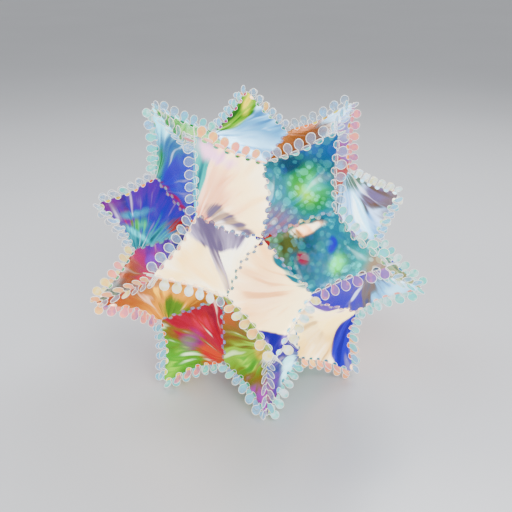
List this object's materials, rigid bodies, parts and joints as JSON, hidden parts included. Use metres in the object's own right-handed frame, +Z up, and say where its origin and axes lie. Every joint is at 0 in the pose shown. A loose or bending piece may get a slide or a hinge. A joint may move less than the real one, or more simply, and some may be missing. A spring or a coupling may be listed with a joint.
{
  "type": "star lantern",
  "caption": "Table star lantern of interlocking iridescent film panels with a battery light that plugs in from below.",
  "frame": {"origin": "on the table under the star's vertical axis, at the level of the lowest tabs", "axes": "+Z up along the star's five-fold axis; -Y faces the front dimple; +X to the right seen from the front"},
  "size_m": [0.2404, 0.251, 0.2085],
  "materials": {
    "film": "clear dichroic film that changes colour with angle",
    "moulded_ring": "clear-white moulded plastic",
    "housing": "fine matt white",
    "diffuser": "frosted milky plastic",
    "circuit_board": "white solder mask",
    "led_lens": "clear yellow lens",
    "screw_steel": "plain zinc",
    "carrier": "matt black",
    "cell_wrap": "plain printed sleeve",
    "contact_metal": "nickel",
    "button_rubber": "soft matt"
  },
  "bodies": {
    "star": {"point_01": "film", "point_02": "film", "point_03": "film", "point_04": "film", "point_05": "film", "point_06": "film", "point_07": "film", "point_08": "film", "point_09": "film", "point_10": "film", "point_11": "film", "point_12": "film", "point_13": "film", "point_14": "film", "point_15": "film", "point_16": "film", "point_17": "film", "point_18": "film", "point_19": "film", "point_20": "film", "seat_ring": "moulded_ring", "clamp_ring": "moulded_ring", "clamp_screws": "screw_steel"},
    "light": {"light_housing": "housing", "diffuser_dome": "diffuser", "led_board": "circuit_board", "leds": "led_lens", "board_screws": "screw_steel", "battery_carrier": "carrier", "batteries": "cell_wrap", "contact_plates": "contact_metal"},
    "tail": {"tail_cap": "housing", "cap_contact": "contact_metal", "switch_body": "carrier", "battery_springs": "contact_metal"},
    "button": {"switch_button": "button_rubber"}
  },
  "joints": [
    {"name": "light_twist", "type": "hinge", "parent": "star", "child": "light", "pos_m": [0, 0, 0.03281], "axis": [0, 0, 1], "range_deg": [-30, 0]},
    {"name": "cap_twist", "type": "hinge", "parent": "light", "child": "tail", "pos_m": [0, 0, 0.02581], "axis": [0, 0, 1], "range_deg": [-60, 0]},
    {"name": "button_press", "type": "slide", "parent": "tail", "child": "button", "axis": [0, 0, 1], "range_m": [0, 0.0012], "stiffness_N_per_m": 1500, "springref_m": -0.0004}
  ]
}
